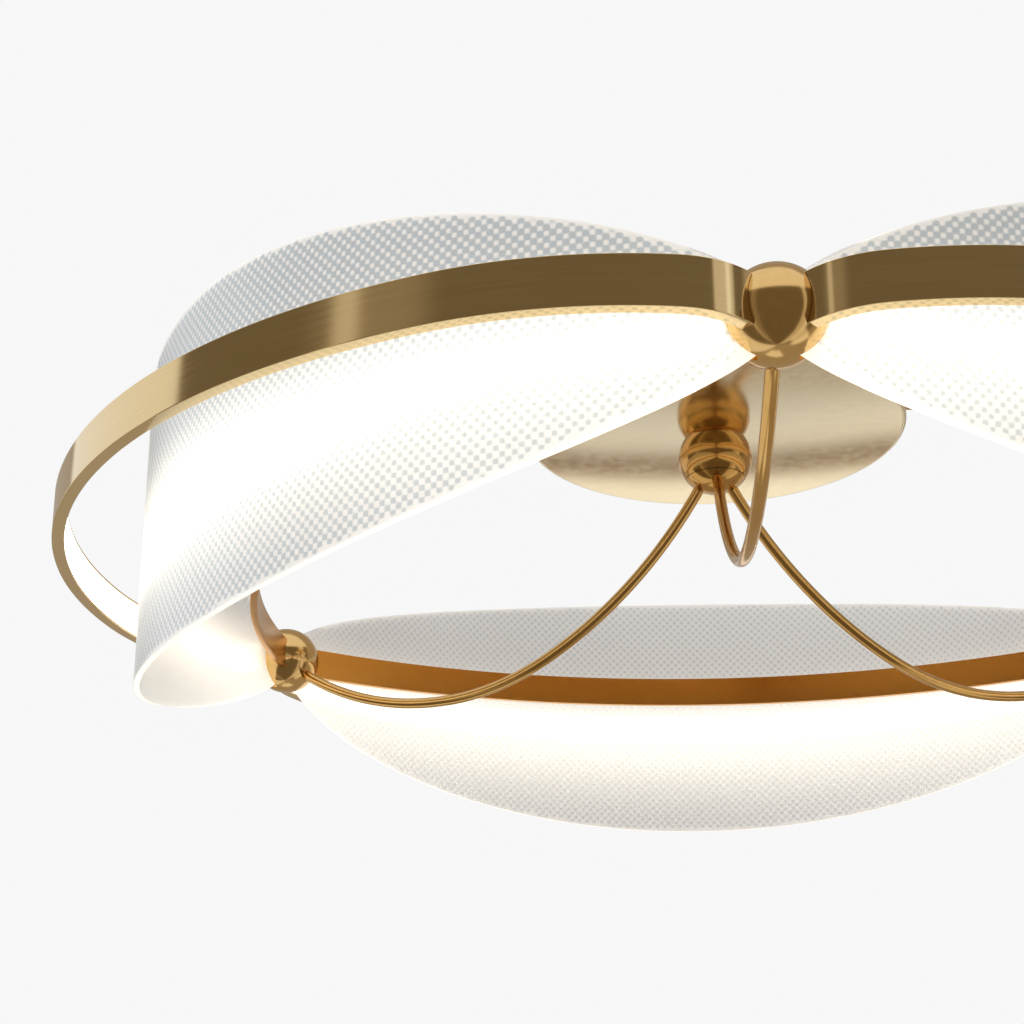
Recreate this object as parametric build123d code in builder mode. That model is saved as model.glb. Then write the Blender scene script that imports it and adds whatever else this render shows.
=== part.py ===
from build123d import *
from math import acos, atan2, cos, degrees, hypot, pi, radians, sin, sqrt
import os

# Ring ceiling light: three lobes of brass band, LED strip and patterned acrylic sheet hang from
# a flat canopy on three bent arms. Millimetres, origin in the ceiling plane on the lamp's axis,
# +Z up, joint ball 1 towards -Y.

# Ring and balls
ring_radius = 300.0  # circle through the centres of the joint balls
ball_radius = 20.0
hub_radius = 20.0
hub_to_ring = 68.7  # hub ball centre above the ring plane
hub_to_canopy = 12.9  # canopy face above the hub ball centre
lobe_count = 3
half_lobe = 180.0 / lobe_count

# Canopy and bracket
canopy_radius = 103.6
canopy_depth = 28.5
canopy_wall = 1.5
canopy_edge = 2.5
bracket_thickness = 1.5
bracket_width = 25.0
bracket_drop = 18.0
bracket_bend = 2.5
ear_gap = 1.6  # between the bracket's ear and the canopy wall
slot_spacing = 130.0
slot_length = 24.0
slot_width = 5.0
cable_hole_radius = 6.0

# Clamp screws of the canopy
clamp_depth = 9.0  # screw axis below the ceiling
clamp_radius = 1.95
clamp_length = 9.5
clamp_head_radius = 5.0
clamp_head_length = 6.0
clamp_grooves = 18
groove_radius = 0.5
thread_gap = 0.1
clamp_hole_gap = 0.45

# Nipple, nut and washer
nipple_radius = 4.9
nipple_bore = 3.5
nipple_above = 12.0  # above the canopy floor
nipple_below = 10.0  # below the canopy face
nut_across_flats = 14.0
nut_height = 4.0
washer_radius = 8.0
washer_thickness = 1.0
washer_notches = 16
notch_width = 1.2
notch_depth = 1.0

# Hub ball and its cap
hub_seam = 11.8  # seam below the hub ball centre
hub_cavity_radius = 13.0
hub_roof = 4.0
hub_shoulder = 5.0
spigot_height = 3.6
spigot_gap = 0.1
seam_gap = 0.3

# Arms: thin tubes that dip below the ring and aim at the centres of the hub and of a ball
arm_radius = 3.0
arm_bore = 2.0
arm_dip = 43.2  # lowest point of the centre line below the ring plane
arm_low_out = 176.0  # lowest point, from the lamp's axis
arm_low_bend = 160.0
arm_low_turn = 23.7
arm_hub_stop = 10.0  # arm end, from the hub ball centre
arm_ball_stop = 9.0  # arm end, from the joint ball centre
arm_seat_gap = 0.15
lead_radius = 1.2
lead_reach = 2.0

# Joint balls
chamber_radius = 5.0
chamber_floor = 7.0  # below the ball centre
plug_radius = 6.5
plug_depth = 2.5
plug_gap = 0.1
wire_bore = 1.6
seat_gap = 0.2

# Outer band: channel that holds the LED strip and its diffuser
band_height = 21.0
band_depth = 6.0
band_wall = 1.2
band_main_turn = 38.7
band_shoulder_turn = 29.4
band_shoulder_radius = 190.0
band_end_turn = 41.0
band_end_radius = 45.0
band_seat_along = 9.4  # where the outer wall meets the ball, along the ring
band_seat_out = 14.2  # and away from the axis
band_overrun = 7.0  # degrees that the end bend runs on into the ball before it is cut

# LED strip and diffuser
tape_height = 10.0
tape_thickness = 0.6
chip_length = 3.5
chip_height = 2.8
chip_thickness = 0.8
chip_pitch = 1000.0 / 60.0
chip_sink = 0.1
strip_end_gap = 8.0
diffuser_thickness = 1.6
diffuser_gap = 0.2
pigtail_radius = 0.9
pigtail_start = 5.6

# Inner band: flat bar bowed towards the axis
inner_height = 18.0
inner_thickness = 4.0
inner_radius = 412.4  # centre line
inner_pass = 3.4  # the centre line passes this far inside the ball centre

# Acrylic sheet: part of a cylinder, cut to a lens
shade_thickness = 3.0
shade_offset = 2.2  # middle of the sheet outside the circle of ball centres
shade_half_height = 82.0
shade_tip_past = 1.7  # tip of the ellipse past the ball centre
shade_tab_stop = 8.0  # end of the tab, from the ball centre
slot_gap = 0.3

# Driver and terminal block
driver_length = 110.0
driver_width = 36.0
driver_height = 19.0
driver_edge = 2.0
driver_y = 42.0
driver_wall = 1.6
lid_thickness = 1.6
lid_gap = 0.1
pad_thickness = 1.0
pad_margin = 6.0
cable_radius = 2.2
cable_bend = 7.0
terminal_length = 28.0
terminal_width = 16.0
terminal_height = 12.0
terminal_x = 27.0
terminal_pitch = 8.0
terminal_screw_radius = 1.5
terminal_screw_spread = 4.0
terminal_screw_depth = 5.0
terminal_screw_sink = 1.0
terminal_screw_length = 3.5
terminal_wire_drop = 5.4  # wire holes below the block's top
terminal_corner = 1.0
fixing_radius = 1.4
fixing_head_radius = 2.6
fixing_head_height = 2.0
earth_x = -30.0
earth_radius = 2.0
earth_head_radius = 3.6
earth_head_height = 2.6

# Places that follow from the sizes
canopy_face = -canopy_depth
canopy_floor = canopy_face + canopy_wall
canopy_inside = canopy_radius - canopy_wall
hub_centre = canopy_face - hub_to_canopy
ring_height = hub_centre - hub_to_ring
ear_face = canopy_inside - ear_gap
hub_point = Vector(0, hub_to_ring)
ball_point = Vector(ring_radius, 0)
fixing_x = terminal_x + terminal_pitch / 2


def ball_azimuth(number):
    # Ball 1 points to -Y and the count runs clockwise seen from above
    return 270.0 - 2 * half_lobe * (number - 1)


def lobe_plane(number, height=ring_height):
    # Lobe n lies between balls n and n + 1. X runs along the ring, Y away from the axis
    turn = ball_azimuth(number) - half_lobe - 90.0
    x_dir = (cos(radians(turn)), sin(radians(turn)), 0)
    return Plane(origin=(0, 0, height), x_dir=x_dir, z_dir=(0, 0, 1))


def arm_plane(number):
    # Upright plane through the axis and ball n. X runs outwards, Y is up
    turn = radians(ball_azimuth(number))
    x_dir = (cos(turn), sin(turn), 0)
    z_dir = (sin(turn), -cos(turn), 0)
    return Plane(origin=(0, 0, ring_height), x_dir=x_dir, z_dir=z_dir)


def ball_plane(number):
    # Level plane at the centre of ball n. X runs along the ring, Y away from the axis
    turn = radians(ball_azimuth(number))
    origin = (ring_radius * cos(turn), ring_radius * sin(turn), ring_height)
    return Plane(origin=origin, x_dir=(sin(turn), -cos(turn), 0), z_dir=(0, 0, 1))


def angle_at_distance(centre, radius, target, distance, side):
    # Angle on a circle, in degrees, where its point lies at a distance from a target
    way = target - centre
    reach = hypot(way.X, way.Y)
    opening = acos((radius**2 + reach**2 - distance**2) / (2 * radius * reach))
    return degrees(atan2(way.Y, way.X) + side * opening)


# Centre line of an arm, in the arm's upright plane: three arcs that meet smoothly
low_point = Vector(arm_low_out, -arm_dip)
outer_way = ball_point - low_point
arm_outer_bend = (outer_way.X**2 + outer_way.Y**2) / (2 * outer_way.Y)
outer_centre = low_point + Vector(0, arm_outer_bend)
low_centre = low_point + Vector(0, arm_low_bend)
low_normal = Vector(sin(radians(arm_low_turn)), cos(radians(arm_low_turn)))
rise_point = low_centre - low_normal * arm_low_bend
rise_way = hub_point - rise_point
arm_rise_bend = (rise_way.X**2 + rise_way.Y**2) / (2 * rise_way.dot(low_normal))
rise_centre = rise_point + low_normal * arm_rise_bend


def arm_line(hub_stop, ball_stop):
    # From the hub end to the ball end. Angles are turned to lie between -180 and 0
    start = angle_at_distance(rise_centre, arm_rise_bend, hub_point, hub_stop, 1)
    start = (start + 360) % 360 - 360
    end = angle_at_distance(outer_centre, arm_outer_bend, ball_point, ball_stop, -1)
    end = (end + 360) % 360 - 360
    with BuildLine() as line:
        CenterArc(rise_centre, arm_rise_bend, start, -90 - arm_low_turn - start)
        CenterArc(low_centre, arm_low_bend, -90 - arm_low_turn, arm_low_turn)
        CenterArc(outer_centre, arm_outer_bend, -90, end + 90)
    return line.line


def arm_tube(number, radius, bore, hub_stop, ball_stop):
    # A round tube along the arm's centre line
    plane = arm_plane(number)
    route = plane.from_local_coords(arm_line(hub_stop, ball_stop))
    with BuildPart() as tube:
        with BuildSketch(Plane(origin=route @ 0, z_dir=route % 0)):
            Circle(radius)
            if bore > 0:
                Circle(bore, mode=Mode.SUBTRACT)
        sweep(path=route)
    return tube.part


# Arcs of the outer band's outer wall, in a lobe's plane. Turns are counted from the lobe's axis
ball_x = ring_radius * sin(radians(half_lobe))
ball_y = ring_radius * cos(radians(half_lobe))


def toward(turn):
    return Vector(sin(radians(turn)), cos(radians(turn)))


lobe_ball = Vector(ball_x, ball_y)
out_of_ball = toward(half_lobe)
along_ring = Vector(-cos(radians(half_lobe)), sin(radians(half_lobe)))
seat_point = lobe_ball + along_ring * band_seat_along + out_of_ball * band_seat_out
shoulder_start = band_main_turn
shoulder_end = band_main_turn + band_shoulder_turn
band_end = shoulder_end + band_end_turn
end_centre = seat_point - toward(band_end) * band_end_radius
shoulder_change = band_end_radius - band_shoulder_radius
shoulder_centre = end_centre + toward(shoulder_end) * shoulder_change
main_point = shoulder_centre + toward(shoulder_start) * band_shoulder_radius
band_main_radius = main_point.X / sin(radians(band_main_turn))
main_centre = Vector(0, main_point.Y - band_main_radius * cos(radians(band_main_turn)))


def band_arcs(inset):
    # The band's line at a depth inside the outer wall, on both halves of the lobe
    CenterArc(main_centre, band_main_radius - inset, 90 - shoulder_start, 2 * shoulder_start)
    for side in (1, -1):
        for centre, radius, first, turn in (
            (shoulder_centre, band_shoulder_radius, shoulder_start, band_shoulder_turn),
            (end_centre, band_end_radius, shoulder_end, band_end_turn + band_overrun),
        ):
            start = 90 - first - turn if side == 1 else 90 + first
            CenterArc((side * centre.X, centre.Y), radius - inset, start, turn)


def band_face(near, far):
    # Plan of a strip that follows the band between two depths
    with BuildSketch() as plan:
        with BuildLine():
            band_arcs(near)
            band_arcs(far)
            for side in (1, -1):
                tips = []
                for inset in (near, far):
                    way = toward(band_end + band_overrun)
                    tip = end_centre + way * (band_end_radius - inset)
                    tips.append((side * tip.X, tip.Y))
                Line(*tips)
        make_face()
    return plan.sketch


def lobe_balls(number, clearance):
    # The two balls at the ends of a lobe, grown by a clearance, for cutting seats
    with BuildPart() as pair:
        with Locations(*[ball_plane(n).origin for n in (number, number % lobe_count + 1)]):
            Sphere(ball_radius + clearance)
    return pair.part


def shade_solid(number, clearance):
    # Sheet bent on a cylinder about the lamp's axis and cut to an ellipse seen from outside
    middle = ring_radius + shade_offset
    half = shade_thickness / 2 + clearance
    stop = degrees((shade_tab_stop - clearance) / middle)
    tall = 2 * (shade_half_height + shade_thickness)
    plane = lobe_plane(number)
    face_plane = Plane(origin=plane.origin, x_dir=plane.x_dir, z_dir=plane.y_dir)
    with BuildPart() as sheet:
        with BuildSketch(plane):
            with BuildLine():
                sweep_angle = 2 * (half_lobe - stop)
                outer = CenterArc((0, 0), middle + half, 90 - half_lobe + stop, sweep_angle)
                inner = CenterArc((0, 0), middle - half, 90 - half_lobe + stop, sweep_angle)
                Line(outer @ 0, inner @ 0)
                Line(outer @ 1, inner @ 1)
            make_face()
        extrude(amount=tall / 2, both=True)
        with BuildSketch(face_plane):
            Ellipse(ball_x + shade_tip_past + clearance, shade_half_height + clearance)
        extrude(amount=middle + 2 * shade_thickness, mode=Mode.INTERSECT)
    return sheet.part


parts = {}


def keep(name, piece):
    # Every piece is labelled and kept under its own name
    piece.label = name
    parts[name] = piece


# Canopy: spun cup, open to the ceiling, with a rounded lower edge
clamp_planes = [
    Plane(origin=(0, 0, -clamp_depth), x_dir=(0, 1, 0), z_dir=(side, 0, 0)) for side in (-1, 1)
]
with BuildPart() as canopy:
    with BuildSketch(Plane.XY.offset(canopy_face)):
        Circle(canopy_radius)
    extrude(amount=canopy_depth)
    fillet(canopy.edges().group_by(Axis.Z)[0], canopy_edge)
    offset(amount=-canopy_wall, openings=canopy.faces().sort_by(Axis.Z)[-1])
    with BuildSketch(Plane.XY.offset(canopy_face)):
        Circle(nipple_radius + thread_gap)
    extrude(amount=canopy_wall, mode=Mode.SUBTRACT)
    for plane in clamp_planes:
        with BuildSketch(plane):
            Circle(clamp_radius + clamp_hole_gap)
        extrude(amount=canopy_radius + canopy_wall, mode=Mode.SUBTRACT)
keep("canopy", canopy.part)

# Ceiling bracket: pressed bar with an ear bent down at each end
with BuildPart() as ceiling_bracket:
    with BuildSketch(Plane.XZ.offset(-bracket_width / 2)):
        Rectangle(2 * ear_face, bracket_drop, align=(Align.CENTER, Align.MAX))
    extrude(amount=bracket_width)
    long_edges = ceiling_bracket.edges().filter_by(Axis.Y).group_by(Axis.Z)[-1]
    fillet(long_edges, bracket_bend)
    with BuildSketch(Plane.XZ.offset(-bracket_width / 2)):
        with Locations((0, -bracket_thickness)):
            inner_bar = Rectangle(
                2 * (ear_face - bracket_thickness), bracket_drop, align=(Align.CENTER, Align.MAX)
            )
        fillet(inner_bar.vertices().group_by(Axis.Z)[-1], bracket_bend - bracket_thickness)
    extrude(amount=bracket_width, mode=Mode.SUBTRACT)
    with BuildSketch(Plane.XY):
        with GridLocations(slot_spacing, 0, 2, 1):
            SlotOverall(slot_length, slot_width)
        Circle(cable_hole_radius)
        with Locations((fixing_x, 0)):
            Circle(fixing_radius + thread_gap)
        with Locations((earth_x, 0)):
            Circle(earth_radius + thread_gap)
    extrude(amount=-bracket_thickness, mode=Mode.SUBTRACT)
    for plane in clamp_planes:
        with BuildSketch(plane):
            Circle(clamp_radius + thread_gap)
        extrude(amount=canopy_radius, mode=Mode.SUBTRACT)
keep("ceiling_bracket", ceiling_bracket.part)

# Clamp screws: grooved head outside the canopy, shank through its wall and the bracket's ear
for name, side in (("canopy_screw_left", -1), ("canopy_screw_right", 1)):
    head_plane = Plane(
        origin=(side * (canopy_radius + seam_gap), 0, -clamp_depth), z_dir=(side, 0, 0)
    )
    with BuildPart() as clamp_screw:
        with BuildSketch(head_plane):
            Circle(clamp_head_radius)
            with PolarLocations(clamp_head_radius, clamp_grooves):
                Circle(groove_radius, mode=Mode.SUBTRACT)
        extrude(amount=clamp_head_length)
        with BuildSketch(head_plane):
            Circle(clamp_radius)
        extrude(amount=-clamp_length)
    keep(name, clamp_screw.part)

# Hollow nipple that hangs the hub ball from the canopy, with its washer and nut
with BuildPart() as nipple:
    with BuildSketch(Plane.XY.offset(canopy_face - nipple_below)):
        Circle(nipple_radius)
        Circle(nipple_bore, mode=Mode.SUBTRACT)
    extrude(amount=nipple_below + canopy_wall + nipple_above)
    chamfer(nipple.edges().group_by(Axis.Z)[-1], thread_gap * 4)
keep("nipple", nipple.part)

with BuildPart() as lock_washer:
    with BuildSketch(Plane.XY.offset(canopy_floor)):
        Circle(washer_radius)
        Circle(nipple_radius + thread_gap, mode=Mode.SUBTRACT)
        with PolarLocations(washer_radius, washer_notches):
            Rectangle(notch_width, notch_depth, mode=Mode.SUBTRACT)
    extrude(amount=washer_thickness)
keep("lock_washer", lock_washer.part)

with BuildPart() as lock_nut:
    with BuildSketch(Plane.XY.offset(canopy_floor + washer_thickness)):
        RegularPolygon(nut_across_flats / 2, 6, major_radius=False)
        Circle(nipple_radius + thread_gap, mode=Mode.SUBTRACT)
    extrude(amount=nut_height)
keep("lock_nut", lock_nut.part)

# Hub ball: turned shell, flat against the canopy, open at the seam below
seam_radius = sqrt(hub_radius**2 - hub_seam**2)
flat_radius = sqrt(hub_radius**2 - hub_to_canopy**2)
hub_plane = Plane(origin=(0, 0, hub_centre), x_dir=(1, 0, 0), z_dir=(0, -1, 0))
with BuildPart() as hub_ball:
    with BuildSketch(hub_plane):
        with BuildLine():
            bore = nipple_radius + thread_gap
            roof = hub_to_canopy - hub_roof
            Polyline(
                (seam_radius, -hub_seam),
                (hub_cavity_radius, -hub_seam),
                (hub_cavity_radius, roof - hub_shoulder),
                (hub_cavity_radius - hub_shoulder, roof),
                (bore, roof),
                (bore, hub_to_canopy),
                (flat_radius, hub_to_canopy),
            )
            ThreePointArc(
                (flat_radius, hub_to_canopy), (hub_radius, 0), (seam_radius, -hub_seam)
            )
        make_face()
    revolve(axis=Axis.Z)
keep("hub_ball", hub_ball.part)

# Hub cap: lower part of the ball, with a spigot into the shell and three holes for the arms
with BuildPart() as hub_cap:
    with BuildSketch(hub_plane):
        with BuildLine():
            cap_seam = -hub_seam - seam_gap
            cap_radius = sqrt(hub_radius**2 - cap_seam**2)
            spigot_radius = hub_cavity_radius - spigot_gap
            spigot_top = -hub_seam + spigot_height
            half_turn = atan2(cap_seam, cap_radius) / 2 - pi / 4
            Polyline(
                (0, -hub_radius),
                (0, spigot_top),
                (spigot_radius, spigot_top),
                (spigot_radius, cap_seam),
                (cap_radius, cap_seam),
            )
            ThreePointArc(
                (cap_radius, cap_seam),
                (hub_radius * cos(half_turn), hub_radius * sin(half_turn)),
                (0, -hub_radius),
            )
        make_face()
    revolve(axis=Axis.Z)
    for number in range(1, lobe_count + 1):
        hole = arm_tube(number, arm_radius + arm_seat_gap, 0, arm_hub_stop / 3, ball_radius)
        add(hole, mode=Mode.SUBTRACT)
keep("hub_cap", hub_cap.part)

# Arms and the leads inside them
for number in range(1, lobe_count + 1):
    keep(f"arm_{number}", arm_tube(number, arm_radius, arm_bore, arm_hub_stop, arm_ball_stop))
    lead = arm_tube(
        number, lead_radius, 0, arm_hub_stop - lead_reach, arm_ball_stop - lead_reach
    )
    keep(f"arm_lead_{number}", lead)

# Where the middle of the band's channel meets the ball, in a lobe's plane
channel_middle = (band_wall + band_depth - diffuser_thickness) / 2
channel_turn = angle_at_distance(
    end_centre, band_end_radius - channel_middle, lobe_ball, ball_radius + pigtail_radius, 1
)
channel_way = Vector(cos(radians(channel_turn)), sin(radians(channel_turn)))
channel_point = end_centre + channel_way * (band_end_radius - channel_middle)
wire_way = channel_point - lobe_ball
wire_angle = degrees(atan2(wire_way.dot(out_of_ball), wire_way.dot(along_ring)))
wire_length = wire_way.length


def wire_planes(number):
    # Planes at the centre of ball n whose normals point to the two band ends
    plane = ball_plane(number)
    planes = []
    for angle in (wire_angle, 180 - wire_angle):
        normal = plane.x_dir * cos(radians(angle)) + plane.y_dir * sin(radians(angle))
        planes.append(Plane(origin=plane.origin, x_dir=(0, 0, 1), z_dir=normal))
    return planes


# Joint balls: arm socket, wiring chamber from above, slots for the sheets, wire bores
for number in range(1, lobe_count + 1):
    level = ball_plane(number)
    previous = (number - 2) % lobe_count + 1
    with BuildPart() as joint_ball:
        with Locations(level.origin):
            Sphere(ball_radius)
        with BuildSketch(level.offset(-chamber_floor)):
            Circle(chamber_radius)
        extrude(amount=chamber_floor + ball_radius, mode=Mode.SUBTRACT)
        with BuildSketch(level.offset(sqrt(ball_radius**2 - plug_radius**2) - plug_depth)):
            Circle(plug_radius + plug_gap)
        extrude(amount=ball_radius, mode=Mode.SUBTRACT)
        for wire_plane in wire_planes(number):
            with BuildSketch(wire_plane):
                Circle(wire_bore)
            extrude(amount=2 * ball_radius, mode=Mode.SUBTRACT)
        add(
            arm_tube(number, arm_radius + arm_seat_gap, 0, hub_radius, arm_ball_stop / 3),
            mode=Mode.SUBTRACT,
        )
        for lobe in (number, previous):
            add(shade_solid(lobe, slot_gap), mode=Mode.SUBTRACT)
    keep(f"joint_ball_{number}", joint_ball.part)

    # Plug: turned disc that closes the chamber and carries on the ball's curve
    with BuildPart() as joint_plug:
        with Locations(level.origin):
            Sphere(ball_radius)
        with BuildSketch(level.offset(sqrt(ball_radius**2 - plug_radius**2) - plug_depth)):
            Circle(plug_radius)
        extrude(amount=ball_radius, mode=Mode.INTERSECT)
    keep(f"joint_plug_{number}", joint_plug.part)

# Lobes
main_length = 2 * radians(band_main_turn) * (band_main_radius - band_wall)
for number in range(1, lobe_count + 1):
    ends = lobe_balls(number, seat_gap)
    middle_plane = lobe_plane(number)

    # Outer band: channel, open towards the axis, with its ends cut to the balls
    with BuildPart() as outer_band:
        with BuildSketch(middle_plane.offset(-band_height / 2)):
            add(band_face(0, band_depth))
        extrude(amount=band_height)
        with BuildSketch(middle_plane.offset(-band_height / 2 + band_wall)):
            add(band_face(band_wall, band_depth + band_wall))
        extrude(amount=band_height - 2 * band_wall, mode=Mode.SUBTRACT)
        add(ends, mode=Mode.SUBTRACT)
    keep(f"outer_band_{number}", outer_band.part)

    # Inner band: flat bar on a wide arc that nearly meets the ball centres
    inner_sag = sqrt((inner_radius + inner_pass) ** 2 - ball_x**2)
    inner_centre = Vector(0, ball_y - inner_sag)
    inner_half = degrees(atan2(ball_x, inner_sag))
    with BuildPart() as inner_band:
        with BuildSketch(middle_plane.offset(-inner_height / 2)):
            with BuildLine():
                walls = [
                    CenterArc(inner_centre, inner_radius + step, 90 - inner_half, 2 * inner_half)
                    for step in (-inner_thickness / 2, inner_thickness / 2)
                ]
                Line(walls[0] @ 0, walls[1] @ 0)
                Line(walls[0] @ 1, walls[1] @ 1)
            make_face()
        extrude(amount=inner_height)
        add(ends, mode=Mode.SUBTRACT)
    keep(f"inner_band_{number}", inner_band.part)

    # Diffuser: frosted strip that closes the channel
    with BuildPart() as diffuser:
        with BuildSketch(middle_plane.offset(-band_height / 2 + band_wall + diffuser_gap)):
            add(band_face(band_depth - diffuser_thickness, band_depth))
        extrude(amount=band_height - 2 * (band_wall + diffuser_gap))
        add(ends, mode=Mode.SUBTRACT)
    keep(f"diffuser_{number}", diffuser.part)

    # LED strip: tape on the channel's wall, with chips along the main arc
    tape_face = band_wall + tape_thickness
    with BuildPart() as led_strip:
        with BuildSketch(middle_plane.offset(-tape_height / 2)):
            add(band_face(band_wall, tape_face))
        extrude(amount=tape_height)
        add(lobe_balls(number, strip_end_gap), mode=Mode.SUBTRACT)
        chip_half = int(main_length / 2 / chip_pitch)
        for step in range(-chip_half, chip_half + 1):
            turn = degrees(step * chip_pitch / (band_main_radius - tape_face))
            spot = main_centre + toward(turn) * (band_main_radius - tape_face + chip_sink)
            base = middle_plane.from_local_coords(spot)
            facing = middle_plane.from_local_coords(spot - toward(turn)) - base
            with BuildSketch(Plane(origin=base, x_dir=(0, 0, 1), z_dir=facing)):
                Rectangle(chip_height, chip_length)
            extrude(amount=chip_thickness + chip_sink)
    keep(f"led_strip_{number}", led_strip.part)

    # Acrylic sheet
    keep(f"shade_{number}", shade_solid(number, 0))

# Short leads from the wiring chambers into the channels
with BuildPart() as strip_leads:
    for number in range(1, lobe_count + 1):
        for wire_plane in wire_planes(number):
            with BuildSketch(wire_plane.offset(pigtail_start)):
                Circle(pigtail_radius)
            extrude(amount=wire_length + strip_end_gap / 2 - pigtail_start)
keep("strip_leads", strip_leads.part)

# Driver: tray and lid on a foam pad that sticks it to the canopy's floor
pad_top = canopy_floor + pad_thickness
driver_top = pad_top + driver_height
with BuildPart() as driver_pad:
    with BuildSketch(Plane.XY.offset(canopy_floor)):
        with Locations((0, driver_y)):
            RectangleRounded(
                driver_length - 2 * pad_margin, driver_width - 2 * pad_margin, driver_edge
            )
    extrude(amount=pad_thickness)
keep("driver_pad", driver_pad.part)

driver_planes = [
    Plane(origin=(0, driver_y, (pad_top + driver_top) / 2), x_dir=(0, 1, 0), z_dir=(side, 0, 0))
    for side in (-1, 1)
]
with BuildPart() as driver_case:
    with BuildSketch(Plane.XY.offset(pad_top)):
        with Locations((0, driver_y)):
            RectangleRounded(driver_length, driver_width, driver_edge)
    extrude(amount=driver_height)
    inside_length = driver_length - 2 * driver_wall
    inside_width = driver_width - 2 * driver_wall
    with BuildSketch(Plane.XY.offset(pad_top + driver_wall)):
        with Locations((0, driver_y)):
            Rectangle(inside_length, inside_width)
    extrude(amount=driver_height, mode=Mode.SUBTRACT)
    for plane in driver_planes:
        with BuildSketch(plane):
            Circle(cable_radius + thread_gap)
        extrude(amount=driver_length, mode=Mode.SUBTRACT)
keep("driver_case", driver_case.part)

with BuildPart() as driver_lid:
    with BuildSketch(Plane.XY.offset(driver_top - lid_thickness)):
        with Locations((0, driver_y)):
            Rectangle(inside_length - 2 * lid_gap, inside_width - 2 * lid_gap)
    extrude(amount=lid_thickness)
keep("driver_lid", driver_lid.part)

# Terminal block: three poles under the bracket, with wire holes through and screws from below
block_top = -bracket_thickness
block_bottom = block_top - terminal_height
wire_height = block_top - terminal_wire_drop
with BuildPart() as terminal_block:
    with BuildSketch(Plane.XY.offset(block_bottom)):
        with Locations((terminal_x, 0)):
            Rectangle(terminal_length, terminal_width)
    extrude(amount=terminal_height)
    chamfer(terminal_block.edges().filter_by(Axis.Z), terminal_corner)
    entry = Plane(origin=(terminal_x, 0, wire_height), x_dir=(1, 0, 0), z_dir=(0, -1, 0))
    with BuildSketch(entry):
        with GridLocations(terminal_pitch, 0, 3, 1):
            Circle(terminal_screw_radius)
    extrude(amount=terminal_width, both=True, mode=Mode.SUBTRACT)
    with BuildSketch(Plane.XY.offset(block_bottom)):
        with Locations((terminal_x, 0)):
            with GridLocations(terminal_pitch, 2 * terminal_screw_spread, 3, 2):
                Circle(terminal_screw_radius + thread_gap)
    extrude(amount=terminal_screw_depth, mode=Mode.SUBTRACT)
    with BuildSketch(Plane.XY.offset(block_bottom)):
        with Locations((fixing_x, 0)):
            Circle(fixing_radius + thread_gap)
    extrude(amount=terminal_height, mode=Mode.SUBTRACT)
keep("terminal_block", terminal_block.part)

with BuildPart() as terminal_screws:
    with BuildSketch(Plane.XY.offset(block_bottom + terminal_screw_sink)):
        with Locations((terminal_x, 0)):
            with GridLocations(terminal_pitch, 2 * terminal_screw_spread, 3, 2):
                Circle(terminal_screw_radius)
    extrude(amount=terminal_screw_length)
keep("terminal_screws", terminal_screws.part)

# Screws up into the bracket: one through the terminal block, one for the earth wire
with BuildPart() as terminal_fixing:
    with BuildSketch(Plane.XY.offset(block_bottom)):
        with Locations((fixing_x, 0)):
            Circle(fixing_head_radius)
    extrude(amount=-fixing_head_height)
    with BuildSketch(Plane.XY.offset(block_bottom)):
        with Locations((fixing_x, 0)):
            Circle(fixing_radius)
    extrude(amount=terminal_height + bracket_thickness)
keep("terminal_fixing", terminal_fixing.part)

with BuildPart() as earth_screw:
    with BuildSketch(Plane.XY.offset(block_top)):
        with Locations((earth_x, 0)):
            Circle(earth_head_radius)
    extrude(amount=-earth_head_height)
    with BuildSketch(Plane.XY.offset(block_top)):
        with Locations((earth_x, 0)):
            Circle(earth_radius)
    extrude(amount=bracket_thickness)
keep("earth_screw", earth_screw.part)

# Leads inside the canopy
driver_middle = (pad_top + driver_top) / 2
driver_end = driver_length / 2 - driver_wall
loop_x = driver_length / 2 + 3 * cable_radius + cable_bend
lead_level = -bracket_thickness - 3 * cable_radius
input_points = [
    (terminal_x, terminal_width / 2, wire_height),
    (terminal_x, terminal_width / 2 + cable_bend, wire_height),
    (loop_x, driver_y - driver_width / 2, (wire_height + driver_middle) / 2),
    (loop_x, driver_y, driver_middle),
    (driver_end, driver_y, driver_middle),
]
output_points = [
    (-driver_end, driver_y, driver_middle),
    (-loop_x, driver_y, driver_middle),
    (-loop_x, driver_y / 3, (driver_middle + lead_level) / 2),
    (-loop_x / 2, 0, lead_level),
    (0, 0, lead_level),
    (0, 0, canopy_face - nipple_below - lead_reach),
]
for name, points in (("input_lead", input_points), ("output_lead", output_points)):
    with BuildPart() as canopy_lead:
        with BuildLine() as route:
            FilletPolyline(*points, radius=cable_bend / 2)
        with BuildSketch(Plane(origin=route.line @ 0, z_dir=route.line % 0)):
            Circle(cable_radius)
        sweep(path=route.line)
    keep(name, canopy_lead.part)

os.makedirs("parts", exist_ok=True)
for name, piece in parts.items():
    export_step(piece, f"parts/{name}.step")
print(f"{len(parts)} pieces, main band radius {band_main_radius:.1f}, rise {arm_rise_bend:.1f}")
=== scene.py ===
# %% [markdown]
# # Ring ceiling light
# Three bowed brass bands with a lit inner face carry three lens-shaped sheets of patterned
# acrylic. They meet in brass balls, which hang on bent arms from a hub ball under a flat canopy.
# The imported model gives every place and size. This script gives the surfaces: smooth bands,
# balls and arms, real relief on the acrylic, and a material for every piece.

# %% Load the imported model
import math

import bmesh
import bpy
from mathutils import Matrix, Vector


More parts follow.
